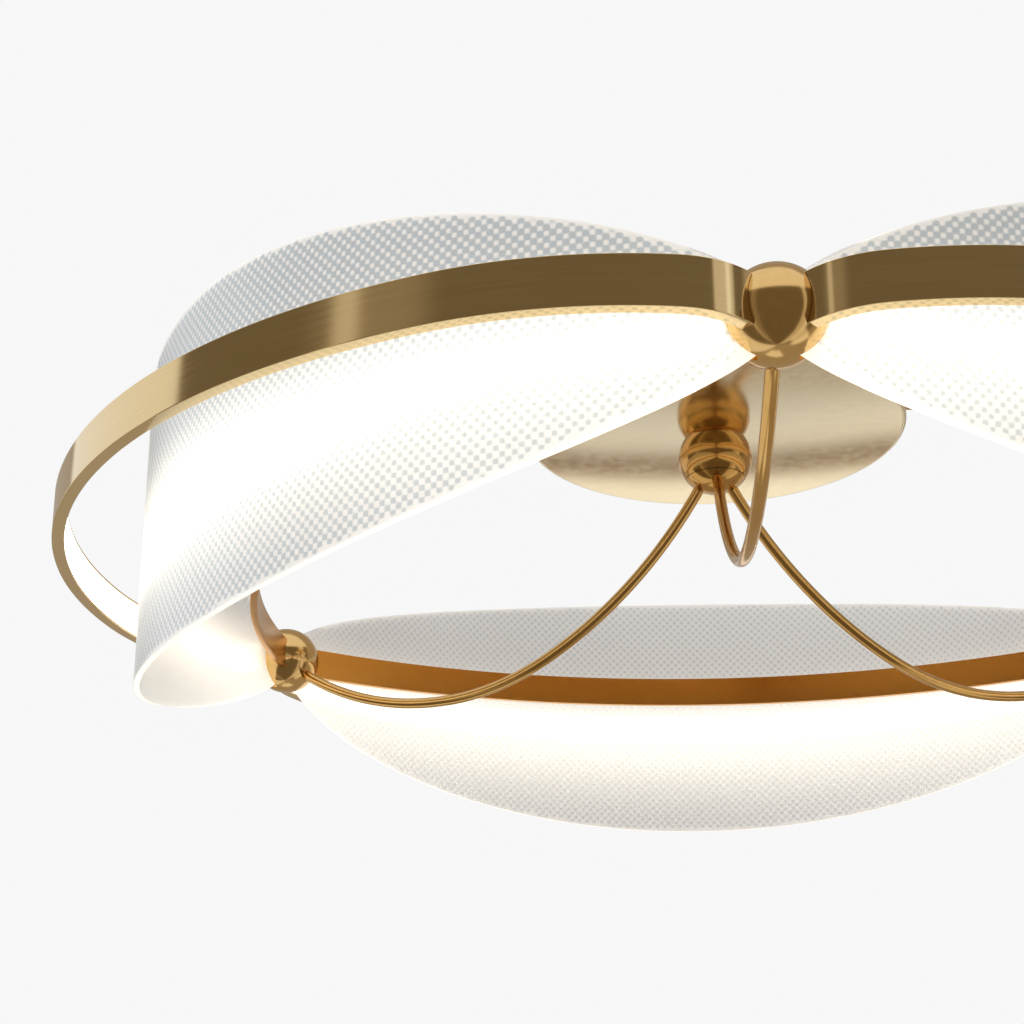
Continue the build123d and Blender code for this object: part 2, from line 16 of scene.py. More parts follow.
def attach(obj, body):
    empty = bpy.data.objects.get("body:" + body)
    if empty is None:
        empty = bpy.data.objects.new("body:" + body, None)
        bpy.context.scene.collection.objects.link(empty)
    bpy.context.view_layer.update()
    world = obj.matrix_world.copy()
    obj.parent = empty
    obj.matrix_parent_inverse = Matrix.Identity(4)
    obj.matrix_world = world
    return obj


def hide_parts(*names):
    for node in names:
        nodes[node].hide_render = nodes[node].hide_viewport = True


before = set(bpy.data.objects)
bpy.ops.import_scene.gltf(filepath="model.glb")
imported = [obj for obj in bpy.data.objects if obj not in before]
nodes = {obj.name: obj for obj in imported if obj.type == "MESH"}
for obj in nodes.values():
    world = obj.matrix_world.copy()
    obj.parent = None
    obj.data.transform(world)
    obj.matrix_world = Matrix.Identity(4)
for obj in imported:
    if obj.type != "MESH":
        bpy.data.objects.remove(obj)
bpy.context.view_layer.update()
bpy.ops.object.select_all(action="DESELECT")

# %% [markdown]
# ## Camera
# The photograph is taken from below and a little to the left of a joint ball. The lens and the
# place were solved from the balls, whose outlines give the scale. The picture was cropped from a
# larger one, which is what the upward shift stands for.

# %% Camera
camera_data = bpy.data.cameras.new("camera")
camera_data.lens = 60.97
camera_data.sensor_width = 36.0
camera_data.shift_x = 0.0014
camera_data.shift_y = 0.1146
camera_data.clip_start = 0.01
camera = bpy.data.objects.new("camera", camera_data)
bpy.context.scene.collection.objects.link(camera)
camera.location = (-0.0720, -0.8861, -0.4123)
view_pitch = math.radians(17.19)
view_level = Vector((-0.0456, 0.999, 0.0))
view_way = view_level * math.cos(view_pitch) + Vector((0.0, 0.0, math.sin(view_pitch)))
camera.rotation_euler = view_way.to_track_quat("-Z", "Y").to_euler()
bpy.context.scene.camera = camera
print("camera looks along", [round(part, 3) for part in view_way])

# %% [markdown]
# ## Places that the pieces share
# All sizes are in metres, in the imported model's frame: the origin is in the ceiling plane and +Z
# is up. Lobe 2 lies towards +Y, so its pieces are modelled there, and lobes 1 and 3 are copies
# turned by a third of a circle.

# %% Shared places
MM = 0.001
ring_radius = 300.0 * MM
ball_radius = 20.0 * MM
ring_height = -110.1 * MM
hub_height = -41.4 * MM
canopy_face = -28.5 * MM
lobe_turns = {1: 120.0, 2: 0.0, 3: -120.0}
arm_turns = {1: 0.0, 2: -120.0, 3: 120.0}


def toward(turn):
    """Direction at so many degrees from +Y towards +X."""
    return Vector((math.sin(math.radians(turn)), math.cos(math.radians(turn)), 0.0))


ball_places = {n: toward(180.0 + 120.0 * (n - 1)) * ring_radius for n in (1, 2, 3)}
for place in ball_places.values():
    place.z = ring_height
print("ball 1 at", [round(part, 4) for part in ball_places[1]])

# %% [markdown]
# ## Working by hand, in code
# A few short helpers stand for things that are done with the mouse. The first go in and out of
# edit mode, pick what the next step works on by its place, and name what was just added.

# %% Picking and naming


def edit(on):
    """Goes in or out of edit mode on the active piece, with vertices to select."""
    bpy.ops.object.mode_set(mode="EDIT" if on else "OBJECT")
    if on:
        bpy.ops.mesh.select_mode(type="VERT")


def pick(test):
    """Selects the vertices whose place passes the test, in edit mode."""
    bpy.ops.mesh.select_mode(type="VERT")
    shape = bmesh.from_edit_mesh(bpy.context.object.data)
    for vertex in shape.verts:
        vertex.select = bool(test(vertex.co))
    shape.select_flush_mode()
    bmesh.update_edit_mesh(bpy.context.object.data)


def pick_faces(test):
    """Selects the faces whose middle passes the test, in edit mode."""
    bpy.ops.mesh.select_mode(type="FACE")
    shape = bmesh.from_edit_mesh(bpy.context.object.data)
    for face in shape.faces:
        face.select_set(bool(test(face.calc_center_median())))
    bmesh.update_edit_mesh(bpy.context.object.data)


def named(name):
    """Names the newest primitive and puts its place into its mesh."""
    bpy.ops.object.transform_apply(location=True, rotation=True, scale=True)
    piece = bpy.context.object
    piece.name = name
    piece.data.name = name
    return piece


print("picking ready")

# %% [markdown]
# Most metal parts here are an outline that was drawn, bent or turned round a centre. So an
# outline is extruded point by point from one vertex, swept round a centre, and closed at its ends.

# %% Outlines and sweeps


def line(name, points, closed=False):
    """A line of edges from point to point, extruded from one vertex. Stays in edit mode."""
    bpy.ops.object.select_all(action="DESELECT")
    bpy.ops.mesh.primitive_plane_add(size=MM)
    piece = named(name)
    edit(True)
    bpy.ops.mesh.select_all(action="SELECT")
    bpy.ops.mesh.merge(type="CENTER")
    bpy.ops.transform.translate(value=points[0])
    for before, after in zip(points, points[1:]):
        step = tuple(after[i] - before[i] for i in range(3))
        bpy.ops.mesh.extrude_region_move(TRANSFORM_OT_translate={"value": step})
    if closed:
        bpy.ops.mesh.select_all(action="SELECT")
        ends = (Vector(points[0]), Vector(points[-1]))
        pick(lambda co: min((co - end).length for end in ends) < MM / 100)
        bpy.ops.mesh.edge_face_add()
    bpy.ops.mesh.select_all(action="SELECT")
    return piece


def sweep(centre, turn, step_length, radius, axis=(0, 0, 1)):
    """Sweeps what is selected round a centre. The far end is selected afterwards."""
    steps = max(2, int(abs(math.radians(turn)) * radius / step_length))
    bpy.ops.mesh.spin(steps=steps, angle=-math.radians(turn), center=centre, axis=axis)


def close_shell():
    """Merges doubles, fills open ends and turns all faces outwards."""
    bpy.ops.mesh.select_all(action="SELECT")
    bpy.ops.mesh.remove_doubles(threshold=MM / 200)
    bpy.ops.mesh.select_all(action="DESELECT")
    bpy.ops.mesh.select_mode(type="EDGE")
    bpy.ops.mesh.select_non_manifold()
    bpy.ops.mesh.fill_holes(sides=0)
    bpy.ops.mesh.select_mode(type="VERT")
    bpy.ops.mesh.select_all(action="SELECT")
    bpy.ops.mesh.normals_make_consistent(inside=False)


print("outlines ready")

# %% [markdown]
# Pieces are finished with modifiers that are applied at once. Cutting with another piece stands
# for drilling and milling, and a copy turned round the lamp's axis for the next one of the batch.

# %% Finishing, cutting and copying


def apply_modifier(piece, kind, **settings):
    """Adds a modifier, sets it and applies it."""
    bpy.context.view_layer.objects.active = piece
    modifier = piece.modifiers.new(kind.lower(), kind)
    for key, value in settings.items():
        setattr(modifier, key, value)
    bpy.ops.object.modifier_apply(modifier=modifier.name)


def cut(piece, cutters):
    """Cuts a piece with others and deletes them."""
    for cutter in cutters:
        apply_modifier(piece, "BOOLEAN", object=cutter, operation="DIFFERENCE", solver="EXACT")
        bpy.data.objects.remove(cutter)


def smooth(piece, angle=35.0, weighted=False):
    """Smooth shading, with edges steeper than the angle kept sharp.

    Weighted normals keep a flat face flat beside a narrow bevel.
    """
    bpy.ops.object.select_all(action="DESELECT")
    piece.select_set(True)
    bpy.context.view_layer.objects.active = piece
    bpy.ops.object.shade_smooth_by_angle(angle=math.radians(angle))
    if weighted:
        apply_modifier(piece, "WEIGHTED_NORMAL", keep_sharp=True, weight=100)


def turned_copy(piece, name, turn):
    """A copy with its own mesh, turned so many degrees round the lamp's axis."""
    copy = piece.copy()
    copy.data = piece.data.copy()
    copy.name = name
    copy.data.name = name
    bpy.context.scene.collection.objects.link(copy)
    copy.data.transform(Matrix.Rotation(math.radians(turn), 4, "Z"))
    return copy


def sphere(name, centre, radius, segments):
    """A ball with half as many rings as segments."""
    bpy.ops.object.select_all(action="DESELECT")
    bpy.ops.mesh.primitive_uv_sphere_add(
        segments=segments, ring_count=segments // 2, radius=radius, location=centre
    )
    return named(name)


print("finishing ready")

# %% [markdown]
# ## Helpers for materials
# Colours are written as sRGB hex, as they are read off a screen, and one function turns them to
# the linear values that the shader needs. One more adds a node with its settings and its inputs,
# which are either values or other nodes' outputs. Noise is measured in waves per metre, so that
# a streak or a speck has a real size.

# %% Helpers for materials


def colour(code):
    """Linear RGBA from an sRGB hex code."""
    parts = [int(code[i : i + 2], 16) / 255 for i in (0, 2, 4)]
    linear = [p / 12.92 if p <= 0.04045 else ((p + 0.055) / 1.055) ** 2.4 for p in parts]
    return (*linear, 1.0)


def add_node(tree, kind, inputs=None, **settings):
    """A node with its settings, and its inputs set to values or linked to outputs."""
    made = tree.nodes.new(kind)
    for key, value in settings.items():
        setattr(made, key, value)
    for key, value in (inputs or {}).items():
        if isinstance(value, bpy.types.NodeSocket):
            tree.links.new(value, made.inputs[key])
        else:
            made.inputs[key].default_value = value
    return made


def new_material(name):
    """A material with an empty tree but for its shader and output."""
    made = bpy.data.materials.new(name)
    made.use_nodes = True
    tree = made.node_tree
    tree.nodes.clear()
    shader = tree.nodes.new("ShaderNodeBsdfPrincipled")
    output = tree.nodes.new("ShaderNodeOutputMaterial")
    tree.links.new(shader.outputs["BSDF"], output.inputs["Surface"])
    return made, tree, shader


def even(waves):
    """The same number of waves per metre along X, Y and Z."""
    return (waves, waves, waves)


def grain(tree, waves, detail=3.0):
    """Noise on Object coordinates, with so many waves per metre along X, Y and Z."""
    place = add_node(tree, "ShaderNodeTexCoord").outputs["Object"]
    scaled = add_node(tree, "ShaderNodeMapping", {"Vector": place, "Scale": waves})
    inputs = {"Vector": scaled.outputs["Vector"], "Scale": 1.0, "Detail": detail, "Roughness": 0.6}
    return add_node(tree, "ShaderNodeTexNoise", inputs).outputs["Fac"]


print("material helpers ready")

# %% [markdown]
# ## One function for most finishes
# A real surface is never all one tint or gloss. Most finishes here vary both with one fine noise,
# which also gives the relief. Metal that was tinted by hand has slow clouds in its tint as well,
# and lacquer is a clear coat over it.

# %% A finish
noise_span = {"From Min": 0.3, "From Max": 0.7}  # noise hardly ever leaves this range
cloud_waves = even(9.0)


def finish(name, dark, light, waves, gloss, relief=0.0, metal=0.0, coat=0.0):
    """A material between two tints and two roughnesses. Coated metal is clouded too."""
    made, tree, shader = new_material(name)
    fine = grain(tree, waves)
    tint = fine
    if coat > 0:
        cloud = {"Value": grain(tree, cloud_waves, 2.0), **noise_span, "To Min": 0.1, "To Max": 0.4}
        clouded = add_node(tree, "ShaderNodeMapRange", cloud).outputs["Result"]
        both = {0: fine, 1: 0.9, 2: clouded}
        tint = add_node(tree, "ShaderNodeMath", both, operation="MULTIPLY_ADD").outputs["Value"]
        shader.inputs["Coat Weight"].default_value = coat
        shader.inputs["Coat Roughness"].default_value = 0.1
    tints = {"Fac": tint, "Color1": colour(dark), "Color2": colour(light)}
    mixed = add_node(tree, "ShaderNodeMixRGB", tints)
    tree.links.new(mixed.outputs["Color"], shader.inputs["Base Color"])
    roughness = {"Value": fine, **noise_span, "To Min": gloss[0], "To Max": gloss[1]}
    rough = add_node(tree, "ShaderNodeMapRange", roughness)
    tree.links.new(rough.outputs["Result"], shader.inputs["Roughness"])
    shader.inputs["Metallic"].default_value = metal
    if relief > 0:
        raised = {"Height": fine, "Distance": relief, "Strength": 1.0}
        bumps = add_node(tree, "ShaderNodeBump", raised)
        tree.links.new(bumps.outputs["Normal"], shader.inputs["Normal"])
    return made


print("clouds about", round(1000 / cloud_waves[0]), "mm wide")

# %% [markdown]
# ## Brass
# Bands, balls, arms and canopy are the same metal with different handwork. The bands are brushed
# along their length under clear lacquer, so their grain runs level round the ring. The balls and
# the arms are polished and tinted darker, and the canopy is spun and left satin. Some tints are
# painted light and shade as well: the canopy is painted paler, and the hub and the inner bands
# darker, each for what it mirrors.

# %% Brass
polished = (0.12, 0.16)
metal, thin_coat = 1.0, 0.1
# Brushed along the band: streaks about 0.4 mm apart, hardly to be seen under the lacquer
brushed_brass = finish(
    "brushed_brass", "cdb07a", "e4cc9a", (14.0, 14.0, 2400.0), (0.07, 0.11), 0.002 * MM, metal, 0.15
)
# Flat bar under lacquer, a softer mirror than the band. Its darker, more orange tint is painted
# shade, for the dim inside of the ring that it mirrors
bar_finish_painted_shade = finish(
    "bar_brass_painted_shade",
    "cc9142",
    "dba353",
    (14.0, 14.0, 1600.0),
    (0.16, 0.2),
    metal=metal,
    coat=thin_coat,
)
# Turned, polished and tinted: a clear mirror with a golden cast
polished_brass = finish(
    "polished_tinted_brass", "d0a562", "dfba7c", even(300.0), polished, 0.0, metal, thin_coat
)
# The hub's brass is painted darker than the joint balls', which is painted shade
hub_finish_painted_shade = finish(
    "hub_painted_shade_brass", "b28440", "c89a56", even(300.0), polished, 0.0, metal, thin_coat
)
# Drawn tube, polished by hand along its length
drawn_brass = finish(
    "drawn_brass_tube", "c1914c", "d6ad6a", even(120.0), polished, 0.0, metal, thin_coat
)
# Spun sheet, nearly polished: the grain is finer than a pixel and only softens a reflection
# The canopy's tint is paler than the other brass: painted light, for the bright sheets that it
# mirrors
canopy_finish_painted_light = finish(
    "spun_brass_painted_light", "ecdcb6", "f6e9cc", even(200.0), (0.13, 0.17), 0.0, metal, thin_coat
)
print("brass", [made.name for made in bpy.data.materials if "brass" in made.name])

# %% [markdown]
# ## Patterned acrylic
# The sheets are clear acrylic with a fine diamond relief. A raised point lets the light through
# and looks white, and the hollow round it bends the view aside and looks grey. Both are painted
# into the colour: a painted highlight on each point and painted shade in each hollow. Light from
# the band enters the sheet and is thrown out by the relief, so the sheet glows near the band,
# where it drowns the pattern, and at its cut rim. That glow is painted light, an emission of the
# sheet. Each sheet carries three attributes for this, which are written on its mesh further on:
# "pattern" counts the diamonds along both diagonals and holds their contrast, "lit" is the painted
# glow, and "rim" marks the cut faces. Two cosines of the counts give round dots, whatever the mesh
# under them.

# %% Acrylic
# The grey of the hollows is painted shade, and the white of the raised points is a painted
# highlight
painted_hollow_shade = "c0cad3"
white_up_to, grey_from = 0.1, 0.64
# How far the painted glow washes the painted dots out to white
drowned_by_glow = 0.3
acrylic, tree, shader = new_material("patterned_acrylic")
pattern, lit, rim = (
    add_node(tree, "ShaderNodeAttribute", attribute_name=name) for name in ("pattern", "lit", "rim")
)
counts = add_node(tree, "ShaderNodeSeparateXYZ", {"Vector": pattern.outputs["Vector"]})
hollow = 0.5  # becomes 0 on a raised point and 1 in a hollow
for diagonal in ("X", "Y"):
    inputs = {0: counts.outputs[diagonal], 1: 2 * math.pi}
    turned = add_node(tree, "ShaderNodeMath", inputs, operation="MULTIPLY")
    wave = add_node(tree, "ShaderNodeMath", {0: turned.outputs["Value"]}, operation="COSINE")
    inputs = {0: wave.outputs["Value"], 1: -0.25, 2: hollow}
    hollow = add_node(tree, "ShaderNodeMath", inputs, operation="MULTIPLY_ADD").outputs["Value"]
inputs = {0: hollow, 1: counts.outputs["Z"]}
with_contrast = add_node(tree, "ShaderNodeMath", inputs, operation="MULTIPLY")
inputs = {0: lit.outputs["Fac"], 1: -drowned_by_glow, 2: with_contrast.outputs["Value"]}
left_over = add_node(tree, "ShaderNodeMath", inputs, operation="MULTIPLY_ADD")
inputs = {"Value": left_over.outputs["Value"], "From Min": white_up_to, "From Max": grey_from}
grey = add_node(tree, "ShaderNodeMapRange", inputs, interpolation_type="SMOOTHSTEP")
# Painted highlight on the raised points and painted shade in the hollows, mixed into the base
# colour
inputs = {"Fac": grey.outputs["Result"], "Color1": colour("ffffff"), "Color2": colour(painted_hollow_shade)}
painted_dot_shading = add_node(tree, "ShaderNodeMixRGB", inputs)
tree.links.new(painted_dot_shading.outputs["Color"], shader.inputs["Base Color"])
print("white up to", white_up_to, "and", painted_hollow_shade, "from", grey_from)

# %% Glow of the acrylic
# The glow near the band and at the cut rim is painted light: an emission of the sheet, which is no
# lamp, standing for the band's light scattered by the relief
glow_tint = "fff8e8"
glow_strength = 0.3
rim_strength = 0.45
shader.inputs["Roughness"].default_value = 0.28
shader.inputs["IOR"].default_value = 1.49
shader.inputs["Transmission Weight"].default_value = 0.45
shader.inputs["Emission Color"].default_value = colour(glow_tint)
inputs = {0: rim.outputs["Fac"], 1: rim_strength}
rim_glow = add_node(tree, "ShaderNodeMath", inputs, operation="MULTIPLY")
inputs = {0: lit.outputs["Fac"], 1: glow_strength, 2: rim_glow.outputs["Value"]}
all_glow = add_node(tree, "ShaderNodeMath", inputs, operation="MULTIPLY_ADD")
tree.links.new(all_glow.outputs["Value"], shader.inputs["Emission Strength"])
print("glow", glow_strength, "rim", rim_strength)

# %% [markdown]
# ## Diffuser
# The light comes out of each band through a strip of frosted plastic. It hides the single chips,
# so it's an even glow with hardly any grain.

# %% Diffuser
diffuser_plastic, tree, shader = new_material("frosted_diffuser")
inputs = {"Fac": grain(tree, even(700.0)), "Color1": colour("fff3d9"), "Color2": colour("fffaf0")}
haze = add_node(tree, "ShaderNodeMixRGB", inputs)
for socket in ("Base Color", "Emission Color"):
    tree.links.new(haze.outputs["Color"], shader.inputs[socket])
shader.inputs["Emission Strength"].default_value = 1.7
shader.inputs["Roughness"].default_value = 0.6
print("diffuser ready")

# %% [markdown]
# ## Hidden and small parts
# Inside the canopy and the bands are ordinary fittings: plated steel, moulded plastic, foam and
# sheathed leads. Most of them are seen from above only, and one finish each is enough.

# %% Small-part materials
# Zinc plating: dull grey metal with a faint spangle
zinc = finish("zinc_plated_steel", "b9bdc0", "d8dadb", even(300.0), (0.3, 0.45), 0.03 * MM, metal)
# Spark-eroded moulds leave ABS and polyamide slightly matt
driver_plastic = finish(
    "moulded_abs_white", "e2e1dd", "efeeea", even(1800.0), (0.45, 0.6), 0.04 * MM
)
terminal_plastic = finish(
    "moulded_polyamide", "d9d5c8", "e8e4d8", even(900.0), (0.35, 0.5), 0.02 * MM
)
# Cut foam shows its open cells
foam = finish("closed_cell_foam", "2b2b2b", "3d3d3d", even(1200.0), (0.85, 0.95), 0.2 * MM)
# Extruded PVC is smooth with a satin gloss, and the tape's solder mask is much the same
sheath = finish("pvc_sheath", "dedcd4", "eeece6", even(500.0), (0.35, 0.5), 0.02 * MM)
tape_white = finish("led_tape_white", "e9e7de", "f7f5ee", even(600.0), (0.4, 0.5), 0.01 * MM)
print("materials", len(bpy.data.materials))

# %% [markdown]
# ## Outer bands
# On the real lamp each outer band is an extruded brass channel, rolled to three radii: a wide
# bow, a tighter shoulder and a short bend into the ball. A C-shaped line is swept round those
# three centres in turn, mirrored, and given its 1.2 mm wall, so the arcs meet smoothly.

# %% Band arcs
band_depth = 6.0 * MM
band_tall = 21.0 * MM
band_wall = 1.2 * MM
edge_round = 0.35 * MM
main_turn, shoulder_turn, end_turn = 38.7, 29.4, 41.0  # degrees of each arc
shoulder_radius = 190.0 * MM
end_radius = 45.0 * MM
overrun = 7.0  # degrees that the band runs on into the ball, to be cut off there
lobe_ball = toward(60.0) * ring_radius
seat_along = 9.4 * MM
seat_out = 14.2 * MM
seat = lobe_ball + toward(-30.0) * seat_along + toward(60.0) * seat_out
end_centre = seat - toward(main_turn + shoulder_turn + end_turn) * end_radius
shoulder_centre = end_centre + toward(main_turn + shoulder_turn) * (end_radius - shoulder_radius)
main_point = shoulder_centre + toward(main_turn) * shoulder_radius
main_radius = main_point.x / math.sin(math.radians(main_turn))
main_centre = Vector((0.0, main_point.y - main_radius * math.cos(math.radians(main_turn)), 0.0))
print("main radius of the band", round(main_radius / MM, 2), "mm")

# %% Outer band of lobe 2
top_y = main_centre.y + main_radius
skin_y = top_y - band_depth
half_tall = band_tall / 2
outer_band = line(
    "outer_band_brass_2",
    [
        (0, skin_y, ring_height + half_tall),
        (0, top_y, ring_height + half_tall),
        (0, top_y, ring_height - half_tall),
        (0, skin_y, ring_height - half_tall),
    ],
)
arc_step = 3.0 * MM
for centre, turn, radius in (
    (main_centre, main_turn, main_radius),
    (shoulder_centre, shoulder_turn, shoulder_radius),
    (end_centre, end_turn + overrun, end_radius),
):
    sweep(centre, -turn, arc_step, radius)
edit(False)
far_x = max(vertex.co.x for vertex in outer_band.data.vertices)
print("half band reaches x", round(far_x / MM, 1), "mm")

# %% Mirror, wall and soft edges
apply_modifier(outer_band, "MIRROR", merge_threshold=MM / 100)
edit(True)
bpy.ops.mesh.select_all(action="SELECT")
bpy.ops.mesh.normals_make_consistent(inside=False)
edit(False)
middle = Vector((0, top_y, ring_height))
web = min(outer_band.data.polygons, key=lambda face: (face.center - middle).length)
wall_side = -1.0 if web.normal.y > 0 else 1.0
apply_modifier(
    outer_band, "SOLIDIFY", thickness=band_wall, offset=wall_side, use_even_offset=True
)
apply_modifier(
    outer_band, "BEVEL", width=edge_round, segments=2, limit_method="ANGLE", angle_limit=1.0
)
print("band faces", len(outer_band.data.polygons))

# %% Ball seats
ball_gap = 0.2 * MM


def ball_cutters():
    """The balls at both ends of lobe 2, larger by the gap."""
    return [
        sphere(f"seat_cutter_{number}", ball_places[number], ball_radius + ball_gap, 96)
        for number in (3, 2)
    ]


cut(outer_band, ball_cutters())
smooth(outer_band, weighted=True)
print("band faces after the seats", len(outer_band.data.polygons))

# %% [markdown]
# ## Inner bands
# The inner band is a plain flat bar on one wide arc, from ball to ball. Its outline is swept in
# one go and its ends are cut to the balls as well.

# %% Inner band of lobe 2
inner_radius = 412.4 * MM
inner_half_thick = 2.0 * MM
inner_half_tall = 9.0 * MM
inner_off_ball = 3.4 * MM  # from the bar's middle to the ball's centre
inner_sag = math.sqrt((inner_radius + inner_off_ball) ** 2 - lobe_ball.x**2)
inner_centre = Vector((0.0, lobe_ball.y - inner_sag, 0.0))
inner_half = math.degrees(math.atan2(lobe_ball.x, inner_sag))
start_y = inner_centre.y + inner_radius
inner_band = line(
    "inner_band_brass_2",
    [
        (0, start_y - inner_half_thick, ring_height + inner_half_tall),
        (0, start_y + inner_half_thick, ring_height + inner_half_tall),
        (0, start_y + inner_half_thick, ring_height - inner_half_tall),
        (0, start_y - inner_half_thick, ring_height - inner_half_tall),
    ],
    closed=True,
)
sweep(inner_centre, -inner_half, arc_step, inner_radius)
edit(False)
apply_modifier(inner_band, "MIRROR", merge_threshold=MM / 100)
edit(True)
close_shell()
edit(False)
apply_modifier(
    inner_band, "BEVEL", width=edge_round, segments=2, limit_method="ANGLE", angle_limit=1.0
)
cut(inner_band, ball_cutters())
smooth(inner_band, weighted=True)
print("inner band faces", len(inner_band.data.polygons))

# %% [markdown]
# ## Acrylic sheets
# The real sheet is laser-cut from embossed stock and bent warm. It is made the same way here: a
# flat grid, every second vertex pushed in to give the diamonds, a back face 3 mm behind, then a
# bend round the lamp's axis, and last the lens outline, cut with an elliptical cutter. The
# squares are split from hollow to hollow, so that each raised vertex is the top of a pyramid.

# %% Sizes of the sheet
sheet_radius = 302.2 * MM
sheet_half_thick = 1.5 * MM
tip_short = 8.0 * MM  # from the stock's end to the ball's centre
sheet_half_angle = 60.0 - math.degrees(tip_short / sheet_radius)
sheet_length = 2 * math.radians(sheet_half_angle) * sheet_radius
sheet_tall = 168.0 * MM
tip_past = 1.7 * MM
lens_half_long = lobe_ball.x + tip_past
lens_half_tall = 82.0 * MM
diamond_depth = 0.45 * MM
diamond_step = 2.6 * MM  # half of the real pattern's pitch
columns = int(sheet_length / diamond_step)
rows = int(sheet_tall / diamond_step)
step_x = sheet_length / columns
step_z = sheet_tall / rows


def inside_lens(x, z):
    """How far a place lies inside the lens outline, nearly."""
    edge = math.hypot(x / lens_half_long, z / lens_half_tall)
    steep = math.hypot(x / lens_half_long**2, z / lens_half_tall**2)
    return (1.0 - edge) * edge / steep if edge > 0.3 else lens_half_tall / 2


def count_across(length, up):
    """Column and row of the pattern at a place on the flat stock."""
    return length / step_x + columns / 2, up / step_z + rows / 2


def is_valley(co):
    """Whether a vertex of the flat stock is pushed in."""
    column, row = count_across(co.x, co.z)
    return (round(column) + round(row)) % 2 == 1


def is_even_face(co):
    """Whether a face is one of those that are split along the first diagonal."""
    column, row = count_across(co.x, co.z)
    return (math.floor(column) + math.floor(row)) % 2 == 0


print("pattern", columns, "by", rows, "steps of", round(step_x / MM, 2), round(step_z / MM, 2))

# %% Flat embossed stock
bpy.ops.object.select_all(action="DESELECT")
bpy.ops.mesh.primitive_grid_add(
    x_subdivisions=columns, y_subdivisions=rows, size=1, rotation=(-math.pi / 2, 0, 0)
)
sheet = named("patterned_sheet_2")
edit(True)
bpy.ops.mesh.select_all(action="SELECT")
bpy.ops.transform.resize(value=(sheet_length, 1, sheet_tall), center_override=(0, 0, 0))
bpy.ops.transform.translate(value=(0, sheet_half_thick, 0))
pick_faces(is_even_face)
bpy.ops.mesh.quads_convert_to_tris(quad_method="FIXED")
pick_faces(lambda co: True)
bpy.ops.mesh.quads_convert_to_tris(quad_method="FIXED_ALTERNATE")
pick(is_valley)
bpy.ops.transform.translate(value=(0, -diamond_depth, 0))
bpy.ops.mesh.select_all(action="SELECT")
bpy.ops.mesh.extrude_region_move(
    TRANSFORM_OT_translate={"value": (0, -2 * sheet_half_thick, 0)}
)
bpy.ops.transform.resize(value=(1, 0, 1), center_override=(0, -sheet_half_thick, 0))
bpy.ops.mesh.select_all(action="SELECT")
bpy.ops.mesh.normals_make_consistent(inside=False)
edit(False)
print("sheet vertices", len(sheet.data.vertices))

# %% Bend and cut to the lens
cutter_middle = (0, 0.25, ring_height)
cutter_deep = 0.4
apply_modifier(
    sheet,
    "SIMPLE_DEFORM",
    deform_method="BEND",
    deform_axis="Z",
    angle=-2 * math.radians(sheet_half_angle),
)
sheet.data.transform(Matrix.Translation((0, sheet_radius, ring_height)))
bpy.ops.object.select_all(action="DESELECT")
bpy.ops.mesh.primitive_cylinder_add(
    vertices=256, radius=1, depth=1, location=cutter_middle, rotation=(math.pi / 2, 0, 0)
)
lens = named("lens_cutter")
edit(True)
bpy.ops.mesh.select_all(action="SELECT")
bpy.ops.transform.resize(
    value=(lens_half_long, cutter_deep, lens_half_tall), center_override=cutter_middle
)
edit(False)
apply_modifier(sheet, "BOOLEAN", object=lens, operation="INTERSECT", solver="MANIFOLD")
bpy.data.objects.remove(lens)
smooth(sheet, 50.0)
print("sheet faces", len(sheet.data.polygons), [round(v / MM, 1) for v in sheet.dimensions])

# %% [markdown]
# ## Marks on the sheet
# The acrylic's material needs to know where the diamonds, the painted glow and the cut rim are. The
# pattern stops just short of the rim, and is on the outer face, so it shows only faintly on the
# inner one. The painted glow's middle lies a little under the band, and it spreads further down
# than up.

# %% Pattern, glow and rim
plain_border = 0.6 * MM
border_fade = 1.0 * MM
inner_contrast = 0.45
glow_middle = -10.0 * MM
glow_up = 22.0 * MM
glow_down = 46.0 * MM
for name, kind, domain in (
    ("pattern", "FLOAT_VECTOR", "POINT"),
    ("lit", "FLOAT", "POINT"),
    ("rim", "FLOAT", "FACE"),
):
    sheet.data.attributes.new(name, kind, domain)
# Looked up only now, because each new attribute can move the ones before it
marks = sheet.data.attributes
for vertex in sheet.data.vertices:
    co = vertex.co
    up = co.z - ring_height
    column, row = count_across(math.atan2(co.x, co.y) * sheet_radius, up)
    contrast = 1.0 if math.hypot(co.x, co.y) > sheet_radius else inner_contrast
    contrast *= max(0.0, min(1.0, (inside_lens(co.x, up) - plain_border) / border_fade))
    marks["pattern"].data[vertex.index].vector = ((column + row) / 2, (column - row) / 2, contrast)
    # Painted glow, brightest a little under the band
    from_glow = (up - glow_middle) / (glow_up if up > glow_middle else glow_down)
    marks["lit"].data[vertex.index].value = math.exp(-(from_glow**2))
for face in sheet.data.polygons:
    outwards = Vector((face.center.x, face.center.y, 0.0)).normalized()
    marks["rim"].data[face.index].value = 1.0 if abs(face.normal.dot(outwards)) < 0.5 else 0.0
print("cut faces", sum(mark.value > 0 for mark in marks["rim"].data))

# %% [markdown]
# ## Arms
# Each arm is one drawn tube, bent in an upright plane: it leaves the hub steeply, dips below the
# ring and rises into its ball. A circle at the lowest point is swept outwards round one centre
# and inwards round two.

